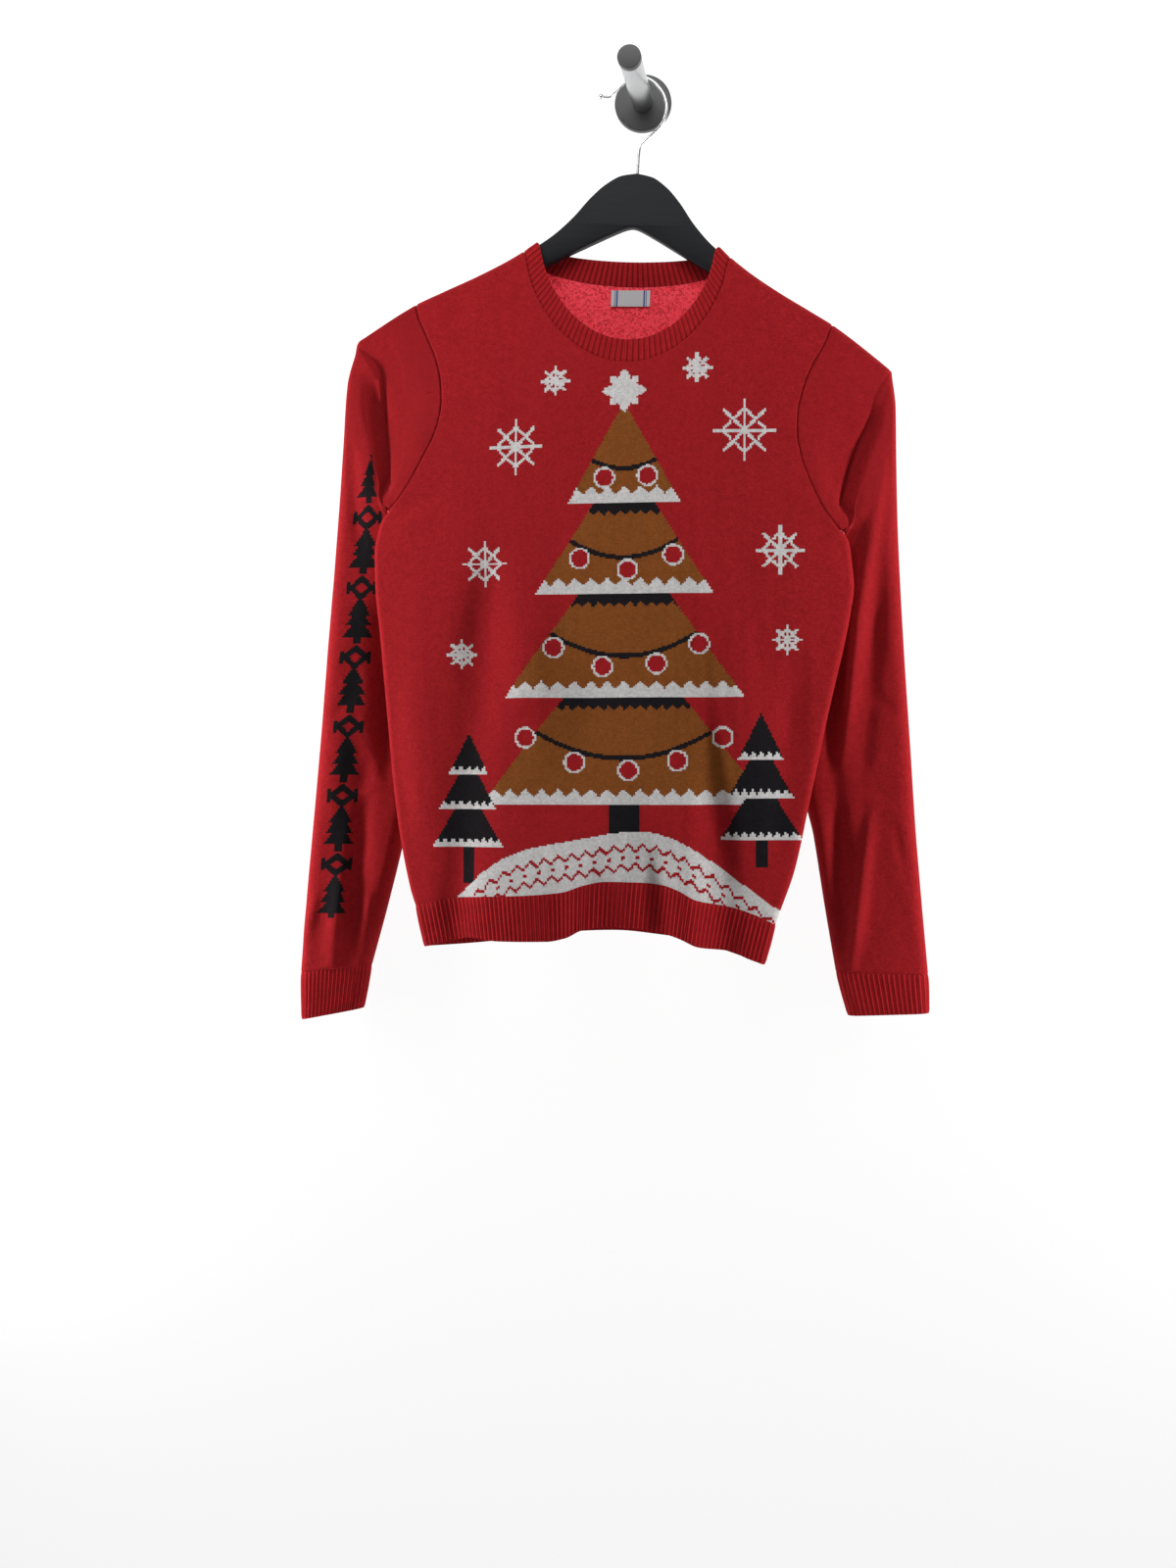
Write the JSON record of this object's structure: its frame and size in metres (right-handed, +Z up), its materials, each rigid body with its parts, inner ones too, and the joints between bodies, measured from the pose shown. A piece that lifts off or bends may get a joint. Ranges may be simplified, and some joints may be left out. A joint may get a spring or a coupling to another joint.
{
  "type": "christmas sweater on a hanger and wall peg",
  "caption": "Long-sleeved knitted pullover with ribbed neckband, cuffs and hem, hanging flat on a black hanger whose wire hook hangs from a round wall peg.",
  "frame": {"origin": "middle of the wall plate's back face, on the wall", "axes": "+Z up, +Y into the wall, +X towards the right of someone who looks at the garment's front"},
  "size_m": [0.5515, 0.112, 0.834],
  "materials": {
    "red_knit": "matt stocking stitch with a slight nap",
    "red_rib": "matt one-by-one rib",
    "label_cloth": "woven satin ribbon",
    "black_wood": "matt black lacquer",
    "hook_steel": "polished wire",
    "peg_steel": "polished, slightly brushed",
    "black_plastic": "satin black"
  },
  "bodies": {
    "root": {"front_panel": "red_knit", "back_panel": "red_knit", "right_sleeve": "red_knit", "left_sleeve": "red_knit", "neckband": "red_rib", "hem_rib_front": "red_rib", "hem_rib_back": "red_rib", "right_cuff": "red_rib", "left_cuff": "red_rib", "neck_label": "label_cloth", "hanger_body": "black_wood", "hanger_hook": "hook_steel", "peg_rod": "peg_steel", "peg_cap": "black_plastic", "wall_plate": "black_plastic"}
  },
  "joints": []
}
